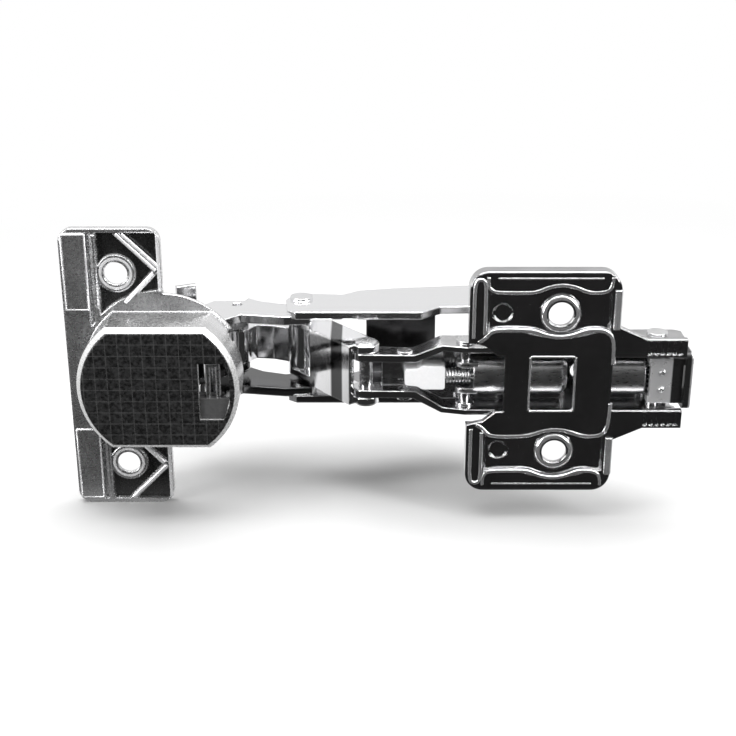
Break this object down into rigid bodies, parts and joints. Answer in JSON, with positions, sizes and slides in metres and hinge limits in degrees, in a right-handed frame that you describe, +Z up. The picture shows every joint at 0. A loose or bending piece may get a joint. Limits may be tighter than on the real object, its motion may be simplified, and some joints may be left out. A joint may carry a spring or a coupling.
{
  "type": "concealed cup hinge",
  "caption": "Concealed cup hinge for a cabinet door: flanged cup, multi-link wide-opening linkage, soft-closing arm and clip-on mounting plate.",
  "frame": {"origin": "middle of the two mounting plate screws, on the face that lies on the cabinet side", "axes": "+X along the arm into the cabinet, +Y away from the cabinet side, +Z up along the hinge pins"},
  "size_m": [0.1371, 0.0401, 0.065],
  "materials": {
    "nickel": "polished nickel plate on stamped steel",
    "lever_steel": "polished nickel plate",
    "cast_nickel": "nickel-plated zinc die casting",
    "pin_steel": "bright steel",
    "spring_steel": "drawn wire",
    "damper_steel": "satin tube",
    "white_plastic": "moulded",
    "dark_plastic": "moulded"
  },
  "bodies": {
    "fixed_arm": {"mounting_plate": "nickel", "arm": "nickel", "front_pin": "pin_steel", "arm_link_pin": "pin_steel", "clip_axle": "pin_steel", "clip_studs": "pin_steel", "neck_rivets": "pin_steel", "damper_rivets": "pin_steel", "damper_cylinder": "damper_steel", "rear_guide": "damper_steel", "clip_spring": "spring_steel"},
    "front_lever": {"inner_lever": "lever_steel", "bumper_pin": "pin_steel", "nose_pin": "pin_steel"},
    "long_lever": {"outer_lever": "lever_steel", "center_pin": "pin_steel", "lever_pin": "pin_steel"},
    "rear_link": {"arm_link": "nickel"},
    "mouth_link": {"cup_link": "nickel"},
    "door_cup": {"cup": "cast_nickel", "cup_pin": "pin_steel", "cup_link_pin": "pin_steel", "spring_holder": "dark_plastic", "cup_spring": "spring_steel"},
    "slider": {"damper_slider": "white_plastic", "piston_rod": "pin_steel", "damper_spring": "spring_steel"},
    "adjuster": {"side_screw": "pin_steel"},
    "depth": {"depth_cam": "pin_steel"},
    "release": {"clip_lever": "nickel"}
  },
  "joints": [
    {"name": "door_swing", "type": "hinge", "parent": "fixed_arm", "child": "front_lever", "pos_m": [-0.0415, 0.0075, 0], "axis": [0, 0, 1], "range_deg": [-90, 30]},
    {"name": "long_lever_turn", "type": "hinge", "parent": "front_lever", "child": "long_lever", "pos_m": [-0.0565, 0.026, 0], "axis": [0, 0, 1], "range_deg": [-30, 90]},
    {"name": "cup_turn", "type": "hinge", "parent": "long_lever", "child": "door_cup", "pos_m": [-0.0757, 0.005, 0], "axis": [0, 0, 1], "range_deg": [-90, 30]},
    {"name": "mouth_link_turn", "type": "hinge", "parent": "front_lever", "child": "mouth_link", "pos_m": [-0.0715, 0.0257, 0], "axis": [0, 0, 1], "range_deg": [-30, 90]},
    {"name": "rear_link_turn", "type": "hinge", "parent": "fixed_arm", "child": "rear_link", "pos_m": [0.001, 0.0132, 0], "axis": [0, 0, 1], "range_deg": [-90, 30]},
    {"name": "damper_slide", "type": "slide", "parent": "fixed_arm", "child": "slider", "axis": [1, 0, 0], "range_m": [-0.0009, 0.0026]},
    {"name": "clip_release", "type": "hinge", "parent": "fixed_arm", "child": "release", "pos_m": [0.022, 0.0056, 0], "axis": [0, 0, 1], "range_deg": [0, 12], "stiffness_Nm_per_rad": 0.03, "springref_deg": -11.46},
    {"name": "side_screw_turn", "type": "hinge", "parent": "fixed_arm", "child": "adjuster", "pos_m": [0.0075, 0.005, 0], "axis": [0, 1, 0], "continuous": true},
    {"name": "depth_cam_turn", "type": "hinge", "parent": "fixed_arm", "child": "depth", "pos_m": [0.016, 0.008, 0], "axis": [0, 1, 0], "range_deg": [-150, 150]}
  ],
  "couplings": [
    {"joint": "long_lever_turn", "follows": "door_swing", "ratio": -1},
    {"joint": "cup_turn", "follows": "door_swing", "ratio": 1},
    {"joint": "mouth_link_turn", "follows": "door_swing", "ratio": -1},
    {"joint": "rear_link_turn", "follows": "door_swing", "ratio": 1},
    {"joint": "damper_slide", "follows": "door_swing", "m_per_rad": -0.0016}
  ]
}
